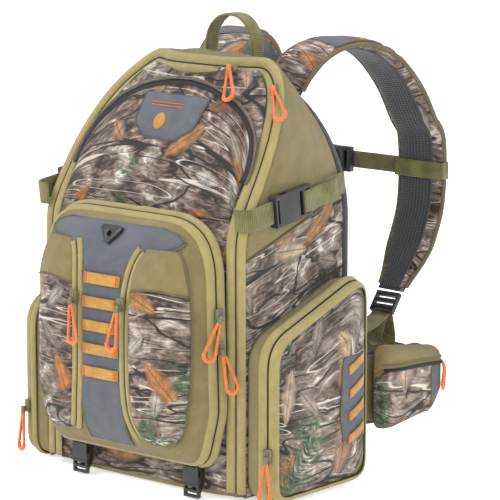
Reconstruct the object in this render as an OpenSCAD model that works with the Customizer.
// Hunting day pack: panel-loading body, domed front pocket, two side pockets,
// shoulder harness and hip belt. Millimetres, +Z up, outer face towards -Y,
// harness towards +Y, origin at the centre of the base on the ground.

/* [Pack body] */
// Width of the body across the base
body_w = 300; // [250:5:360]
// Depth of the body from the front face to the back face
body_d = 175; // [150:5:210]
// Height where the sides and the front start to lean in
shoulder_z = 300; // [260:5:320]
// Height of the crown at its front edge
crown_z = 466; // [450:4:500]
// Drop of the crown towards the back
crown_drop = 20; // [10:2:30]
// Depth of the crown
crown_d = 80; // [70:5:100]
// Thickness of a fabric wall with its lining
wall = 3; // [2:0.5:4]

/* [Back] */
// Thickness of the foam back panel
back_t = 15; // [12:1:18]
// Thickness of the mesh pads on the back panel
pad_t = 12; // [8:1:16]
// Thickness of the stiffening sheet
sheet_t = 1.5; // [1:0.5:2]

/* [Front pocket] */
// Width of the front pocket
pocket_w = 250; // [210:5:256]
// Height of the pocket's lower edge
pocket_z0 = 42; // [40:1:60]
// Height of the pocket's upper edge
pocket_z1 = 314; // [290:2:340]
// Depth of the pocket's gusset
pocket_gusset = 16; // [10:1:20]
// Rise of the domed cover
pocket_rise = 52; // [40:1:60]

/* [Side pockets] */
// Depth of a side pocket's gusset
side_gusset_d = 28; // [20:1:36]
// Rise of a side pocket's cover
side_rise = 16; // [10:1:22]
// Height of a side pocket at the front
side_front_h = 183; // [160:1:200]
// Height of a side pocket at the back
side_rear_h = 240; // [210:1:270]

/* [Shoulder straps] */
// Width of a shoulder strap
strap_w = 66; // [56:1:76]
// Thickness of a shoulder strap
strap_t = 11; // [8:1:14]
// Height of the chest strap
chest_z = 328; // [310:1:340]

/* [Hip belt] */
// Height of a padded belt wing
wing_h = 88; // [74:1:100]
// Thickness of a padded belt wing
wing_t = 11; // [8:1:14]
// Height of the belt's middle
belt_z = 96; // [84:1:108]
// Depth of a belt pocket
belt_pocket_d = 24; // [16:1:30]
// Width of the belt webbing
belt_web_w = 38; // [30:1:42]

/* [Webbing and buckles] */
// Width of the side, lash and harness webbing
web_w = 25; // [20:1:28]
// Thickness of webbing
web_t = 1.6; // [1.2:0.2:2]
// Width of the chest webbing
chest_web_w = 20; // [16:1:24]
// Clearance between a buckle's halves
buckle_gap = 0.5; // [0.3:0.1:0.8]
// Travel that frees a buckle's plug
buckle_travel = 26; // [20:1:30]

/* [Zips] */
// Width of a zip's tapes
tape_w = 20; // [14:1:24]
// Thickness of a zip's tapes and coil
tape_t = 3; // [2:0.5:4]
// Length of a cord pull
pull_len = 52; // [36:1:56]
// Width of a cord pull's loop
pull_w = 16; // [10:1:16]

/* [Hidden] */
$fn = 32;

olive = [0.45, 0.41, 0.25];
camo = [0.46, 0.39, 0.33];
grey = [0.38, 0.41, 0.46];
mesh = [0.16, 0.16, 0.18];
orange = [0.85, 0.45, 0.15];
black = [0.08, 0.08, 0.08];
web_olive = [0.36, 0.36, 0.18];

fit = 0.3;                                  // gap between neighbouring pieces
front_y = -body_d / 2;                      // front face of the body
back_y = body_d / 2;                        // back face of the foam panel
crown_front_y = back_y - crown_d;           // where the leaning front meets the crown
lean = atan((crown_front_y - front_y) / (crown_z - shoulder_z));
lean_len = norm([crown_front_y - front_y, crown_z - shoulder_z]);
hinge_z = 8;                                // hinge of the front panel
pad_y = back_y + pad_t;                     // outer face of the back pads
gusset_y = front_y - fit - pocket_gusset;   // outer edge of the front pocket's gusset
side_x = body_w / 2 + fit + side_gusset_d;  // outer edge of a side pocket's gusset
side_y0 = front_y + 5;                      // front of the side pockets
side_y1 = back_y - 7;                       // rear of the side pockets
side_z0 = 6;                                // lower edge of the side pockets

arch_rise = crown_z + 18 - shoulder_z;      // the front arch would close this far over the shoulder
rear_z = crown_z - crown_drop;              // height of the crown at the back
rear_rise = rear_z + 6 - shoulder_z;        // the rear arch would close this far over the shoulder
setback = 27;                               // how far the seam falls behind the front's middle
arch_levels = [for (t = [0, 0.28, 0.5, 0.68, 0.82, 0.92, 1]) shoulder_z + t * (crown_z - shoulder_z)];

// ---------- lists and outlines ----------
function joined(list) = [for (part = list) for (item = part) item];
function unit(v) = v / norm(v);
function mix(a, b, t) = a + (b - a) * t;
function wrap(list, i) = list[(i + len(list)) % len(list)];
function inward(list, i) = let(a = unit(wrap(list, i + 1) - wrap(list, i))) [-a[1], a[0]];

// Corners of a counter-clockwise convex outline, moved in by d.
function inset(list, d) = [for (i = [0:len(list) - 1])
    let(n0 = inward(list, i - 1), n1 = inward(list, i))
    list[i] + d * (n0 + n1) / (1 + n0 * n1)];

// The outline with its corners rounded, n + 1 points a corner.
function rounded(list, radii, n) = joined([for (i = [0:len(list) - 1])
    let(n0 = inward(list, i - 1), n1 = inward(list, i),
        turn = acos(min(1, n0 * n1)), r = radii[i],
        a = unit(list[i] - wrap(list, i - 1)),
        centre = list[i] - a * r * tan(turn / 2) + n0 * r,
        start = atan2(-n0[1], -n0[0]))
    [for (k = [0:n]) centre + r * [cos(start + turn * k / n), sin(start + turn * k / n)]]]);

function above(z) = max(0, z - shoulder_z);

// Half-width of the body at height z, along its front seam and along its back edge.
function front_x(z) = body_w / 2 * pow(1 - pow(above(z) / arch_rise, 3), 1 / 3);
function rear_x(z) = body_w / 2 * sqrt(1 - pow(above(z) / rear_rise, 2));
// Height on the back edge that a height on the seam runs to.
function rear_level(z) = z - above(z) * crown_drop / (crown_z - shoulder_z);

// Front face of the body at height z, in the middle and at the seam.
function middle_y(z) = front_y + above(z) * (crown_front_y - front_y) / (crown_z - shoulder_z);
function seam_y(z) = middle_y(z) + setback * pow(above(z) / (crown_z - shoulder_z), 2);

// The seam's line, and the front face between the seams.
seam_in = wall + fit + tape_w / 2;
function seam(z) = [front_x(z) - seam_in, seam_y(z), z];
function bend_x(z) = 0.62 * front_x(z);
function face_y(x, z) = abs(x) <= bend_x(z) ? middle_y(z)
    : mix(middle_y(z), seam_y(z), (abs(x) - bend_x(z)) / (seam(z)[0] - bend_x(z)));

// ---------- general solids ----------
// A closed solid between stacked rings of the same count.
module loft(rings) {
    n = len(rings[0]);
    last = len(rings) - 1;
    sides = [for (k = [0:last - 1]) for (i = [0:n - 1])
        let(a = k * n + i, b = k * n + (i + 1) % n)
        each [[a, a + n, b], [b, a + n, b + n]]];
    polyhedron(joined(rings), concat(sides,
        [[for (i = [0:n - 1]) i], [for (i = [n - 1:-1:0]) last * n + i]]));
}

// A band of width w and thickness t along a path; its width lies along side as nearly as it can.
function band_rings(path, side, w, t) = [for (i = [0:len(path) - 1])
    let(a = path[max(i - 1, 0)], b = path[min(i + 1, len(path) - 1)], along = unit(b - a),
        up = unit(cross(along, unit(side))), across = cross(up, along) * w / 2)
    [path[i] - across - up * t / 2, path[i] + across - up * t / 2,
     path[i] + across + up * t / 2, path[i] - across + up * t / 2]];
module band(path, side, w, t) loft(band_rings(path, side, w, t));

// Rings of a pillow: each level is [inset, height].
function pillow_rings(corners, radii, levels, grow = 0) = [for (l = levels)
    let(r = [for (x = radii) max(x - l[0] - grow, 2)])
    [for (p = rounded(inset(corners, l[0] + grow), r, 4)) [p[0], p[1], l[1]]]];

// A domed shell, open on its flat side, with a rim that joins its two skins.
module open_shell(corners, radii, levels, t) {
    outer = pillow_rings(corners, radii, levels);
    low = [for (i = [0:len(levels) - 1]) [levels[i][0], levels[i][1] - (i > 0 ? t : 0)]];
    inner = pillow_rings(corners, radii, low, t);
    n = len(outer[0]);
    last = len(outer) - 1;
    step = n * (last + 1);
    outside = [for (k = [0:last - 1]) for (i = [0:n - 1])
        let(a = k * n + i, b = k * n + (i + 1) % n)
        each [[a, a + n, b], [b, a + n, b + n]]];
    inside = [for (f = outside) [f[2] + step, f[1] + step, f[0] + step]];
    rim = [for (i = [0:n - 1]) let(j = (i + 1) % n)
        each [[i, j, i + step], [j, j + step, i + step]]];
    polyhedron(concat(joined(outer), joined(inner)), concat(outside, inside, rim,
        [[for (i = [n - 1:-1:0]) last * n + i], [for (i = [0:n - 1]) step + last * n + i]]));
}

// A wall standing on an outline.
module ring_wall(corners, radii, t, h) {
    linear_extrude(h) difference() {
        polygon(rounded(corners, radii, 4));
        polygon(rounded(inset(corners, t), [for (r = radii) max(r - t, 2)], 4));
    }
}

// A flat piece in the XZ plane, from y0 towards +Y.
module upright(corners, radii, y0, t) {
    translate([0, y0 + t, 0]) rotate([90, 0, 0]) linear_extrude(t)
        polygon(rounded(corners, radii, 4));
}

// A box from one corner to the other.
module block(a, b) { translate(a) cube(b - a); }

module left_of_right() { mirror([1, 0, 0]) children(); }
module both_sides() {
    children();
    left_of_right() children();
}
module on_front(y) { translate([0, y, 0]) rotate([90, 0, 0]) children(); }
module on_right(x) { translate([x, 0, 0]) rotate([90, 0, 90]) children(); }

// The leaning part of the front face: local X across, Y up the slope, Z outwards.
module on_lean() {
    translate([0, front_y, shoulder_z]) rotate([90 - lean, 0, 0]) children();
}

// ---------- buckles ----------
socket_len = 36;
plug_len = 26;
prong_len = 24;
buckle_t = 10;
function buckle_w(w) = w + 10;

// Socket half: mouth at x = 0, body towards -X, width along Y, thickness along Z.
module buckle_socket(w) {
    half = buckle_w(w) / 2;
    difference() {
        block([-socket_len, -half, -buckle_t / 2], [0, half, buckle_t / 2]);
        block([-prong_len - 3, -half + 3, -buckle_t / 2 + 2.2], [1, half - 3, buckle_t / 2 - 2.2]);
        for (side = [-1, 1])
            translate([-prong_len + 6, side * half, 0])
                cube([11, 8, buckle_t - 5], center = true);
        block([-socket_len + 2.5, -w / 2 - 1, -buckle_t], [-socket_len + 5.5, w / 2 + 1, buckle_t]);
    }
}

// Plug half: prongs towards -X, ladder bars towards +X.
module buckle_plug(w) {
    half = buckle_w(w) / 2;
    prong_t = buckle_t - 4.4 - 2 * buckle_gap;
    prong_y = half - 3 - buckle_gap;
    translate([0, 0, -prong_t / 2]) linear_extrude(prong_t) {
        polygon([[-prong_len + 2, -2], [0, -3], [0, 3], [-prong_len + 2, 2]]);
        for (side = [-1, 1])
            polygon([for (p = [[1, prong_y - 6], [1, prong_y - 1], [-11, prong_y],
                [-17, prong_y], [-prong_len, prong_y - 4], [-prong_len + 1, prong_y - 7],
                [-12, prong_y - 5]]) [p[0], side * p[1]]]);
    }
    difference() {
        block([buckle_gap, -half, -buckle_t / 2 + 1], [plug_len, half, buckle_t / 2 - 1]);
        block([6, -w / 2 - 1, -buckle_t], [11.5, w / 2 + 1, buckle_t]);
        block([16, -w / 2 - 1, -buckle_t], [21.5, w / 2 + 1, buckle_t]);
    }
}

// ---------- zips ----------
slider_t = 4;
cord_r = 1.4;
cord_lift = slider_t + 2.2 + cord_r;        // height of a pull's cord over its zip

// Slider: zip along local Y, outwards along Z.
module zip_slider() {
    block([-4.5, -7, 0], [4.5, 7, slider_t - 1]);
    block([-1.5, -4, slider_t - 1], [1.5, 4, slider_t + 0.4]);
}

// Cord loop with a moulded end, hanging along local -Y and standing off by rise degrees.
module cord_pull(swing = 0, rise = 0) {
    drop = pull_len - pull_w / 2;
    lean_in = atan((pull_w / 2 - cord_r) / drop);
    reach = norm([drop, pull_w / 2 - cord_r]);
    rotate([0, 0, swing]) translate([0, 0, cord_lift]) rotate([-rise, 0, 0]) {
        for (side = [-1, 1])
            rotate([90, 0, side * lean_in]) cylinder(r = cord_r, h = reach);
        translate([0, -drop, 0]) rotate([0, 0, 180]) rotate_extrude(angle = 180)
            translate([pull_w / 2 - cord_r, 0]) circle(cord_r + 0.4);
        rotate([90, 0, 0]) cylinder(r = cord_r + 1, h = 8);
    }
}

// Slider with its pull, as one piece.
module slider_and_pull(swing = 0) {
    zip_slider();
    cord_pull(swing, 4);
    rotate([0, 0, swing]) translate([0, -1.6, 0]) cylinder(r = 1.2, h = cord_lift);
}

// ---------- body ----------
half_outline = concat([[body_w / 2 - wall - fit, wall + fit]],
    [for (z = arch_levels) let(r = rear_level(z)) [rear_x(r) - wall - fit, min(r, rear_z - fit)]]);
body_outline = concat(half_outline, [for (i = [len(half_outline) - 1:-1:0]) [-half_outline[i][0], half_outline[i][1]]]);

// A plate in the shape of the body's outline, moved in by gap, from y0 towards +Y.
module outline_plate(gap, y0, t) {
    translate([0, y0 + t, 0]) rotate([90, 0, 0]) linear_extrude(t) polygon(inset(body_outline, gap));
}

module back_panel() {
    color(mesh) outline_plate(0, back_y - back_t, back_t);
}

module back_pads() {
    column_top = rear_z - 62;
    column = [[14, 165], [110, 165], [98, shoulder_z + 10], [72, column_top], [14, column_top]];
    lumbar = [[-98, 30], [98, 30], [92, 152], [-92, 152]];
    color(mesh) {
        upright(column, [10, 10, 10, 10, 10], back_y + fit / 2, pad_t);
        left_of_right() upright(column, [10, 10, 10, 10, 10], back_y + fit / 2, pad_t);
        upright(lumbar, [14, 14, 14, 14], back_y + fit / 2, pad_t);
    }
}

module frame_sheet() {
    color(black) outline_plate(10, back_y - back_t - fit - sheet_t, sheet_t);
}

// Right side of the body, from the seam to the back edge.
module side_panel() {
    rear = back_y - 1;
    loft([for (z = concat([wall + fit], arch_levels)) let(r = rear_level(z))
        [[front_x(z), seam_y(z), z], [rear_x(r), rear, r],
         [rear_x(r) - wall, rear, r], [front_x(z) - wall, seam_y(z), z]]]);
}
module side_panels() {
    color(camo) both_sides() side_panel();
}

module bottom_panel() {
    half = body_w / 2;
    color(olive) linear_extrude(wall) polygon(rounded(
        [[-half, front_y], [half, front_y], [half, back_y], [-half, back_y]], [10, 10, 10, 10], 4));
}

// The crown slopes down from the main zip to the back edge.
function crown_level(y) = mix(crown_z, rear_z, (y - crown_front_y) / crown_d);
handle_y = back_y - 16;
handle_z = crown_level(handle_y) + wall + 8;
handle_span = 32;
behind_zip = wall + tape_w / 2 + 2 * fit;
crown_corner = mix(front_x(crown_z), rear_x(rear_z), behind_zip / (back_y - 1 - seam_y(crown_z))) - wall - fit;
top_plan = [[-bend_x(crown_z), crown_front_y + behind_zip], [bend_x(crown_z), crown_front_y + behind_zip],
    [crown_corner, seam_y(crown_z) + behind_zip],
    [rear_x(rear_z) - wall - fit, back_y - 1], [-rear_x(rear_z) + wall + fit, back_y - 1],
    [-crown_corner, seam_y(crown_z) + behind_zip]];
// Crown behind the zip, with the handle's two sewn tabs.
module top_panel() {
    color(olive) {
        loft([for (h = [0, wall]) [for (p = top_plan) [p[0], p[1], crown_level(p[1]) + h]]]);
        for (side = [-1, 1])
            block([side * handle_span - 2, handle_y - 2, crown_level(handle_y) + 1],
                [side * handle_span + 2, handle_y + 2, handle_z - 2]);
    }
}

// Root side of the main zip: up both sides and across the crown behind the lid's top edge.
module main_zip_track() {
    half = tape_w / 4;
    out = 0.96 * half;
    behind = wall + fit + half;
    color(olive) {
        both_sides() band([for (z = concat([hinge_z + 4], arch_levels)) seam(z) + [out, tape_t / 2, 0]],
            [0, -1, 0.6], tape_t, half);
        band([[-seam(crown_z)[0], seam_y(crown_z) + behind, crown_z], [-bend_x(crown_z), crown_front_y + behind, crown_z],
            [bend_x(crown_z), crown_front_y + behind, crown_z], [seam(crown_z)[0], seam_y(crown_z) + behind, crown_z]],
            [0, 1, 0], half, tape_t);
    }
}

// Webbing grab loop.
module haul_handle() {
    rise = 58;
    path = [for (a = [0:15:180])
        [handle_span * cos(a) * (1 + 0.12 * sin(a)), handle_y, handle_z + rise * pow(sin(a), 0.8)]];
    color(web_olive) band(path, [0, 1, 0], 20, 2.4);
}

// ---------- front panel and upper pocket ----------
module front_panel() {
    color(camo) loft([for (z = concat([hinge_z], arch_levels))
        let(x = seam(z)[0] - fit, b = bend_x(z), m = middle_y(z), e = seam_y(z))
        [[-x, e, z], [-b, m, z], [b, m, z], [x, e, z], [x, e + wall, z], [b, m + wall, z], [-b, m + wall, z], [-x, e + wall, z]]]);
}

// Upper pocket: a pad over the leaning face, closed by an arched zip.
upper_z0 = shoulder_z + 18;
upper_z1 = shoulder_z + 0.84 * (crown_z - shoulder_z);
upper_rise = 11;
pad_gap = 1.3;                              // room behind a pad for the bends of what it lies on
function upper_half(z) = let(t = (z - upper_z0) / (upper_z1 - upper_z0)) (body_w / 2 - 36) * pow(1 - pow(0.96 * t, 3), 0.4);
function upper_ring(z) = let(half = upper_half(z), t = (z - upper_z0) / (upper_z1 - upper_z0),
        lift = upper_rise * (0.3 + 0.7 * sqrt(sin(180 * mix(0.06, 0.94, t)))))
    let(bend = min(bend_x(z), 0.8 * half), xs = [-half, -(half + bend) / 2, -bend, -bend / 2, 0, bend / 2, bend, (half + bend) / 2, half])
    concat([for (x = xs) [x, face_y(x, z) - pad_gap, z]],
        [for (i = [8:-1:0]) [xs[i], face_y(xs[i], z) - pad_gap - lift * (0.35 + 0.65 * sqrt(1 - pow(xs[i] / half, 4))), z]]);
module upper_pocket() {
    color(camo) loft([for (t = [0:0.125:1]) upper_ring(mix(upper_z1, upper_z0, t))]);
}

// Zip in an arch over the upper pocket.
module upper_pocket_zip() {
    color(black) band([for (a = [0:7.5:180])
        let(x = (body_w / 2 - 25) * cos(a), z = mix(upper_z0 + 46, upper_z1 + 12, sin(a))) [x, face_y(x, z) - 3.2, z]],
        [0, -1, 0.6], 2, 6);
}

module name_patch() {
    low = 0.54 * lean_len;
    high = low + 46;
    color(grey) on_lean() translate([0, 0, upper_rise + pad_gap + fit]) linear_extrude(1.4)
        polygon(rounded([[-30, low], [30, low], [42, high], [-42, high]], [8, 8, 4, 4], 4));
}

// ---------- front pocket ----------
pocket_corners = [[-pocket_w / 2 + 16, pocket_z0], [pocket_w / 2 - 16, pocket_z0],
    [pocket_w / 2, pocket_z0 + 60], [pocket_w / 2 - 6, pocket_z1],
    [-pocket_w / 2 + 6, pocket_z1], [-pocket_w / 2, pocket_z0 + 60]];
pocket_radii = [14, 14, 40, 66, 66, 40];
pocket_levels = [[0, 0], [2, 8], [14, 26], [34, pocket_rise - 14], [62, pocket_rise - 3], [90, pocket_rise]];
pocket_mid_z = (pocket_z0 + pocket_z1) / 2;
cover_y = gusset_y - fit;                   // flat side of the cover

// Height of the domed cover over its flat side at (x, z), away from its corners.
function dome(x, z) = lookup(min([for (i = [0:len(pocket_corners) - 1])
    ([x, z] - pocket_corners[i]) * inward(pocket_corners, i)]), pocket_levels);

module front_pocket_gusset() {
    color(olive) on_front(front_y - fit)
        ring_wall(pocket_corners, pocket_radii, wall, pocket_gusset);
}

// Zip tape round the foot of the gusset.
module front_zip_track() {
    radii = [for (r = pocket_radii) r + 3 + fit];
    color(olive) on_front(front_y - fit)
        ring_wall(inset(pocket_corners, -3 - fit), radii, 3, pocket_gusset / 2);
}

module front_pocket_cover() {
    color(olive) on_front(cover_y) open_shell(pocket_corners, pocket_radii, pocket_levels, wall);
}

// Webbing bars down the middle of the cover.
ladder_w = 52;
ladder_h = 12;
ladder_step = 26;
module lash_ladder() {
    y = cover_y - pocket_rise - fit;
    z0 = pocket_mid_z + 14;
    color(orange) for (i = [-2:2])
        block([-ladder_w / 2, y - 2, z0 + i * ladder_step - ladder_h / 2], [ladder_w / 2, y, z0 + i * ladder_step + ladder_h / 2]);
}

// A stash pocket hugs the dome between a curved inner edge and a straighter outer one.
stash_half_h = (pocket_z1 - pocket_z0) / 2 - 26;
stash_t = 8;
stash_steps = 16;
stash_gap = 3;                              // room behind a stash pocket for the dome's bends
function bow(t) = pow(1 - pow(min(1, abs(t)), 3), 1 / 3);
function stash_inner(t) = 74 - 34 * bow(t * 0.98);
function stash_outer(t) = 74 + 35 * bow(t * 0.98);
function stash_ring(t) = let(z = pocket_mid_z - 2 + t * stash_half_h, x0 = stash_inner(t), x1 = stash_outer(t))
    concat([for (u = [0:0.125:1]) let(x = mix(x0, x1, u)) [x, cover_y - stash_gap - dome(x, z), z]],
        [for (u = [1:-0.125:0]) let(x = mix(x0, x1, u))
            [x, cover_y - stash_gap - dome(x, z) - stash_t * (0.45 + 0.55 * bow(2 * u - 1) * bow(t)), z]]);
module stash_pockets() {
    color(camo) both_sides()
        loft([for (i = [0:stash_steps]) stash_ring(mix(0.97, -0.97, i / stash_steps))]);
}

// Zip tapes along the stash pockets' inner edges.
zip_lift = 3;
function stash_zip_point(t) = let(z = pocket_mid_z - 2 + t * stash_half_h, x = stash_inner(t) - 5)
    [x, cover_y - dome(x, z) - zip_lift, z];
module stash_zip_tracks() {
    color(olive) both_sides()
        band([for (i = [0:stash_steps]) stash_zip_point(mix(0.9, -0.9, i / stash_steps))], [1, 0, 0], 8, 2);
}

module moulded_tab() {
    z = pocket_z1 - 34;
    slope = atan((dome(0, z) - dome(0, z + 20)) / 20);
    color(black) translate([0, cover_y - dome(0, z) - 2, z]) rotate([90 - slope, 0, 0]) linear_extrude(5)
        difference() {
            polygon(rounded([[0, 0], [18, 24], [-18, 24]], [4, 3, 3], 4));
            translate([0, 14]) circle(3.4);
        }
}

// ---------- side pockets ----------
side_corners = [[side_y0, side_z0], [side_y1, side_z0], [side_y1, side_rear_h], [side_y0, side_front_h]];
side_radii = [20, 20, 16, 34];
module side_gussets() {
    color(olive) both_sides() on_right(body_w / 2 + fit)
        ring_wall(side_corners, side_radii, wall, side_gusset_d);
}

module side_cover() {
    color(camo) on_right(side_x + fit)
        open_shell(side_corners, side_radii, [[0, 0], [3, 7], [14, 12], [34, side_rise]], wall);
}

module side_ladder() {
    x = side_x + 2 * fit + side_rise;
    color(orange) for (z = [66:26:144])
        block([x, side_y1 - 78, z - 5], [x + 2, side_y1 - 38, z + 5]);
}

// ---------- harness ----------
// Middle line of the right shoulder strap, from the crown over the shoulder.
strap_y = back_y + 187;                     // where the strap stands furthest out
strap_x = 116;
strap_path = [[54, back_y + 7, rear_z - 14], [57, back_y + 19, rear_z + 6], [62, back_y + 38, rear_z + 24],
    [70, back_y + 66, rear_z + 35], [80, back_y + 98, rear_z + 34], [92, back_y + 132, rear_z + 16],
    [102, back_y + 160, rear_z - 18], [110, strap_y - 9, rear_z - 58], [strap_x, strap_y, chest_z + 34],
    [strap_x, strap_y, chest_z - 34], [strap_x, strap_y - 14, chest_z - 76], [strap_x - 1, strap_y - 35, chest_z - 112],
    [strap_x - 2, strap_y - 55, chest_z - 138]];
strap_tip = strap_path[len(strap_path) - 1];
tip_dir = unit(strap_tip - strap_path[len(strap_path) - 2]);

module shoulder_strap() {
    color(camo) band(strap_path, [1, 0, 0], strap_w, strap_t);
}

// Ladder lock under the strap's tip.
adjuster_pos = strap_tip + tip_dir * 3;
adjuster_tilt = atan2(-tip_dir[1], -tip_dir[2]);
adjuster_len = 26;
module strap_adjuster() {
    half = web_w / 2 + 4;
    color(black) translate(adjuster_pos) rotate([-adjuster_tilt, 0, 0]) difference() {
        block([-half, -3, -adjuster_len], [half, 3, 0]);
        for (z = [-7, -15, -23])
            block([-web_w / 2 - 1, -10, z - 1.7], [web_w / 2 + 1, 10, z + 1.7]);
    }
}

// Webbing from the lower back corner up to the ladder lock, and its hanging tail.
module strap_webbing() {
    low = adjuster_pos + tip_dir * (adjuster_len + 2);
    anchor = [body_w / 2 - 18, back_y + 2, belt_z + wing_h / 2 + 18];
    color(web_olive) {
        band([anchor, anchor + [-1, 10, 1], mix(anchor, low, 0.5) + [0, 0, -3], low], [1, 0, 0], web_w, web_t);
        band([low + [0, 6, -1], low + [2, 9, -30], low + [4, 8, -62]], [1, 0, 0], web_w, web_t);
    }
}

// Chest strap: a loop round each shoulder strap, webbing and a buckle.
chest_mid = -14;                            // where the buckle's halves meet
loop_gap = 1.5;
loop_t = 1.5;
chest_edge = strap_x - strap_w / 2 - loop_gap - loop_t;
module chest_loop() {
    inner = [strap_w + 2 * loop_gap, strap_t + 2 * loop_gap];
    translate([strap_x, strap_y, chest_z - chest_web_w / 2]) linear_extrude(chest_web_w) difference() {
        square(inner + 2 * [loop_t, loop_t], center = true);
        square(inner, center = true);
    }
}

// The plug slides along its webbing, which lies behind it.
plug_web_y = buckle_t / 2 - 0.4;
module chest_webbing_right() {
    y = strap_y + plug_web_y;
    color(web_olive) {
        chest_loop();
        block([chest_mid + 8, y, chest_z - chest_web_w / 2], [chest_edge + loop_t, y + web_t, chest_z + chest_web_w / 2]);
    }
}
module chest_webbing_left() {
    color(web_olive) {
        left_of_right() chest_loop();
        block([-chest_edge - loop_t, strap_y - web_t / 2, chest_z - chest_web_w / 2],
            [chest_mid - socket_len + 2, strap_y + web_t / 2, chest_z + chest_web_w / 2]);
    }
}

// Room for a webbing's end at the closed end of a socket.
module socket_slot(w) {
    block([-socket_len - 1, -w / 2 - fit, -web_t / 2 - fit], [-socket_len + 3, w / 2 + fit, web_t / 2 + fit]);
}
module at_chest_buckle() {
    translate([chest_mid, strap_y, chest_z]) rotate([90, 0, 0]) children();
}
module chest_socket() {
    color(black) at_chest_buckle() difference() {
        buckle_socket(chest_web_w);
        socket_slot(chest_web_w);
    }
}
module chest_plug() {
    color(black) at_chest_buckle() buckle_plug(chest_web_w);
}

// ---------- hip belt ----------
wing_y = pad_y + 2 + wing_t / 2;            // middle of the wings' roots, the belt's hinge
wing_path = [[112, wing_y], [136, wing_y + 1], [152, back_y + 34], [160, back_y + 62], [163, back_y + 96],
    [161, back_y + 130], [155, back_y + 158]];
module belt_wing() {
    color(mesh) band([for (p = wing_path) [p[0], p[1], belt_z]], [0, 0, 1], wing_h, wing_t);
}

belt_pocket_x = 163 + wing_t / 2 + 1;
module belt_pocket() {
    y0 = back_y + 27;
    y1 = back_y + 140;
    low = belt_z - wing_h / 2;
    shape = [[y0, low - 4], [y1 - 18, low + 6], [y1, low + 30], [y1, low + wing_h - 8], [y0, low + wing_h + 10]];
    color(camo) on_right(belt_pocket_x + fit)
        loft(pillow_rings(shape, [18, 18, 14, 10, 12], [[0, 0], [2, belt_pocket_d * 0.5],
            [8, belt_pocket_d * 0.85], [24, belt_pocket_d]]));
}

// Belt webbing from a wing's tip to its buckle half.
belt_y = back_y + 178;
module belt_webbing(end_x, end_y) {
    tip = wing_path[len(wing_path) - 1] + [-6, 5];
    path = [tip, [tip[0] - 16, belt_y - 8], [tip[0] - 50, end_y], [end_x, end_y]];
    color(web_olive) band([for (p = path) [p[0], p[1], belt_z]], [0, 0, 1], belt_web_w, web_t);
}
module at_belt_buckle() {
    translate([0, belt_y, belt_z]) rotate([90, 0, 0]) children();
}
module belt_socket() {
    color(black) at_belt_buckle() difference() {
        buckle_socket(belt_web_w);
        socket_slot(belt_web_w);
    }
}
module belt_plug() {
    color(black) at_belt_buckle() buckle_plug(belt_web_w);
}

// ---------- compression straps ----------
comp_pos = [body_w / 2 + 8, -14, shoulder_z + 27];
comp_tilt = 7;
// Strap frame on the right side: local X to the rear, Y up, Z outwards.
module on_compression() {
    translate(comp_pos) rotate([90, 0, 90]) rotate([0, 0, comp_tilt]) children();
}
module compression_run() {
    under = buckle_t / 2 + 1;
    on_compression() {
        block([front_y - comp_pos[1] - 6, -web_w / 2, -web_t / 2], [-socket_len + 2, web_w / 2, web_t / 2]);
        block([8, -web_w / 2, -under - web_t], [back_y - comp_pos[1] - 2, web_w / 2, -under]);
    }
}
module compression_webbing() {
    color(web_olive) both_sides() compression_run();
}
module compression_sockets() {
    color(black) both_sides() on_compression() difference() {
        buckle_socket(web_w);
        socket_slot(web_w);
    }
}
module compression_plug() {
    color(black) on_compression() buckle_plug(web_w);
}

// ---------- lash straps under the front pocket ----------
lash_x = 84;
lash_y = front_y - 13;
lash_z = 18;
lash_scale = 0.62;
// Small buckle hanging with its socket on top.
module at_lash() {
    translate([lash_x, lash_y, lash_z]) rotate([0, 90, 90]) scale(lash_scale) children();
}
module lash_sockets() {
    color(black) both_sides() at_lash() buckle_socket(web_w);
}
module lash_plug() {
    color(black) at_lash() buckle_plug(web_w);
}
module lash_webbing() {
    y = front_y - 1.5;
    low = lash_z - lash_scale * plug_len + 3;
    color(black) both_sides()
        band([[lash_x, lash_y + 4, low], [lash_x, y - 1.5, low + 10], [lash_x, y, pocket_z0 - 8]],
            [1, 0, 0], web_w * lash_scale, web_t);
}

// ---------- sliders in place ----------
// On the main zip at height z: local Y runs up the seam.
module on_main_zip(z) {
    run = seam(z + 12) - seam(z - 12);
    normal = unit(cross(cross(run, [0.3, -1, 0.6]), run));
    along = unit(run);
    across = cross(along, normal);
    translate(seam(z) + (tape_t + fit) * normal) multmatrix([for (i = [0:2]) [across[i], along[i], normal[i], 0]])
        children();
}
main_low_z = mix(shoulder_z, crown_z, 0.86);

// On the main zip along the crown's front edge: local Y runs to the left, -X down the front.
module on_crown_zip(x) {
    normal = [0, -cos(lean), sin(lean)];
    translate([x, crown_front_y, crown_z] + fit * normal)
        multmatrix([[0, -1, 0, 0], [sin(lean), 0, -cos(lean), 0], [cos(lean), 0, sin(lean), 0]]) children();
}
main_top_x = bend_x(crown_z) - 8;

// At the right edge of the front pocket, over the seam of its cover.
function pocket_edge(z) = mix(pocket_w / 2, pocket_w / 2 - 6, (z - pocket_z0 - 60) / (pocket_z1 - pocket_z0 - 60));
module on_front_zip(z) {
    translate([pocket_edge(z) + 6.5, gusset_y - 2, z]) rotate([90, 0, 60]) children();
}

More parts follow.
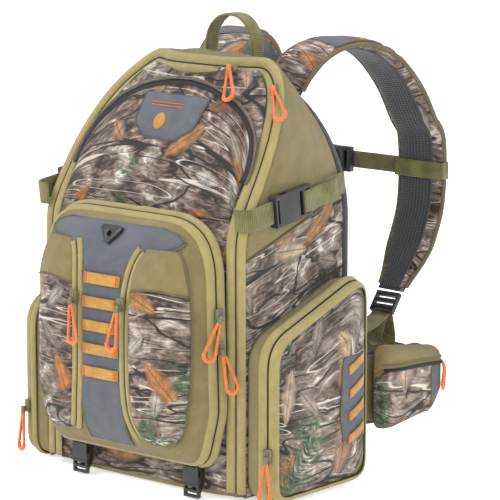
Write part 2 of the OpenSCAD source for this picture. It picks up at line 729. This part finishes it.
stash_share = 0.42;
module stash_slider() {
    p = stash_zip_point(stash_share);
    color(orange) translate([stash_inner(0) - 5, p[1] - 1 - fit, p[2]]) rotate([90, 0, 0]) slider_and_pull(-8);
}
module side_slider() {
    color(orange) translate([side_x + 2, side_y0 - 3, 62]) rotate([90, 0, 20]) slider_and_pull();
}

back_panel();
back_pads();
frame_sheet();
side_panels();
bottom_panel();
top_panel();
main_zip_track();
side_gussets();
haul_handle();
front_panel();
upper_pocket();
upper_pocket_zip();
name_patch();
front_pocket_gusset();
front_zip_track();
front_pocket_cover();
lash_ladder();
stash_pockets();
stash_zip_tracks();
moulded_tab();
side_cover();  // side_cover_right
left_of_right() side_cover();  // side_cover_left
side_ladder();  // side_ladder_right
left_of_right() side_ladder();  // side_ladder_left
shoulder_strap();  // shoulder_strap_right
left_of_right() shoulder_strap();  // shoulder_strap_left
strap_adjuster();  // strap_adjuster_right
left_of_right() strap_adjuster();  // strap_adjuster_left
strap_webbing();  // strap_webbing_right
left_of_right() strap_webbing();  // strap_webbing_left
chest_webbing_right();
chest_webbing_left();
chest_socket();
chest_plug();
belt_wing();  // belt_wing_right
left_of_right() belt_wing();  // belt_wing_left
belt_pocket();  // belt_pocket_right
left_of_right() belt_pocket();  // belt_pocket_left
belt_webbing(8, belt_y + plug_web_y + web_t / 2);  // belt_webbing_right
left_of_right() belt_webbing(socket_len - 2, belt_y);  // belt_webbing_left
belt_socket();
belt_plug();
compression_webbing();
compression_sockets();
compression_plug();  // compression_plug_right
left_of_right() compression_plug();  // compression_plug_left
lash_webbing();
lash_sockets();
lash_plug();  // lash_plug_right
left_of_right() lash_plug();  // lash_plug_left
color(black) on_main_zip(main_low_z) zip_slider();  // main_slider_side
color(black) on_crown_zip(main_top_x) zip_slider();  // main_slider_top
color(orange) on_main_zip(main_low_z) cord_pull(10);  // main_pull_side
color(orange) on_crown_zip(main_top_x) cord_pull(-60, 11);  // main_pull_top
color(orange) on_front_zip(214) slider_and_pull(-20);  // front_slider_upper
color(orange) on_front_zip(178) slider_and_pull(14);  // front_slider_lower
stash_slider();  // stash_slider_right
left_of_right() stash_slider();  // stash_slider_left
side_slider();  // side_slider_right
left_of_right() side_slider();  // side_slider_left
